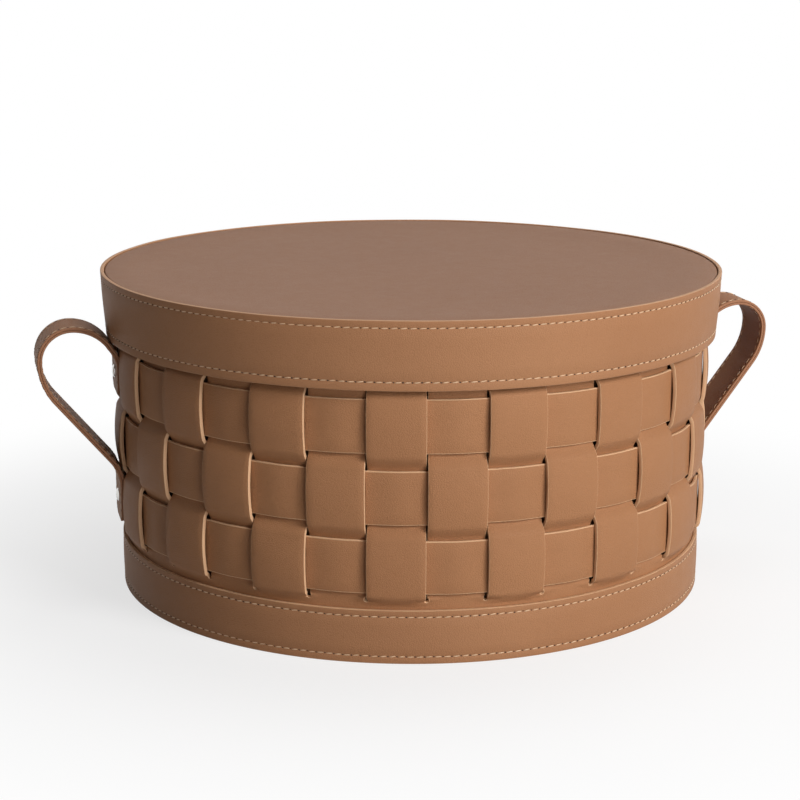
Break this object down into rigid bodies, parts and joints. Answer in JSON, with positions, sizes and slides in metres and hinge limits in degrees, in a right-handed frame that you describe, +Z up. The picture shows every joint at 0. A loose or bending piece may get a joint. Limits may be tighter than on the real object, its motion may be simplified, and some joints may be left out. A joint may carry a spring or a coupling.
{
  "type": "storage basket",
  "caption": "Round lidded storage basket: leather strips woven round a stiff shell, stitched bands, two riveted strap handles and a lift-off lid.",
  "frame": {"origin": "middle of the underside, on the surface the basket stands on", "axes": "+Z up, +X from the left handle to the right handle, -Y the side without handles that the picture shows turned a little to its left"},
  "size_m": [0.4852, 0.4, 0.205],
  "materials": {
    "wall_leather": "fine-grained tan leather, satin, with paler cut edges",
    "band_leather": "smooth tan leather, satin, sewn along both edges with pale thread",
    "lid_leather": "smooth tan leather over a board, satin",
    "handle_leather": "two plies of tan leather sewn along both edges, painted edges",
    "base_leather": "plain brown leather",
    "board": "bare thin fibreboard, hidden",
    "lining": "matt brushed lining cloth",
    "rivet_metal": "polished silver-coloured rivets"
  },
  "bodies": {
    "basket": {"underside_cover": "base_leather", "base_board": "board", "floor_lining": "lining", "wall_shell": "board", "wall_lining": "lining", "wall_panel": "wall_leather", "woven_strap_lower": "wall_leather", "woven_strap_middle": "wall_leather", "woven_strap_upper": "wall_leather", "base_band": "band_leather", "rim_band": "band_leather", "handle_right_outer_ply": "handle_leather", "handle_right_inner_ply": "handle_leather", "handle_left_outer_ply": "handle_leather", "handle_left_inner_ply": "handle_leather", "rivet_caps": "rivet_metal", "rivet_backs": "rivet_metal"},
    "lid": {"lid_band": "band_leather", "lid_hoop": "board", "lid_side_lining": "lining", "lid_board": "board", "lid_top_lining": "lining", "lid_cover": "lid_leather"}
  },
  "joints": [
    {"name": "lid_lift", "type": "slide", "parent": "basket", "child": "lid", "axis": [0, 0, 1], "range_m": [0, 0.11]}
  ]
}
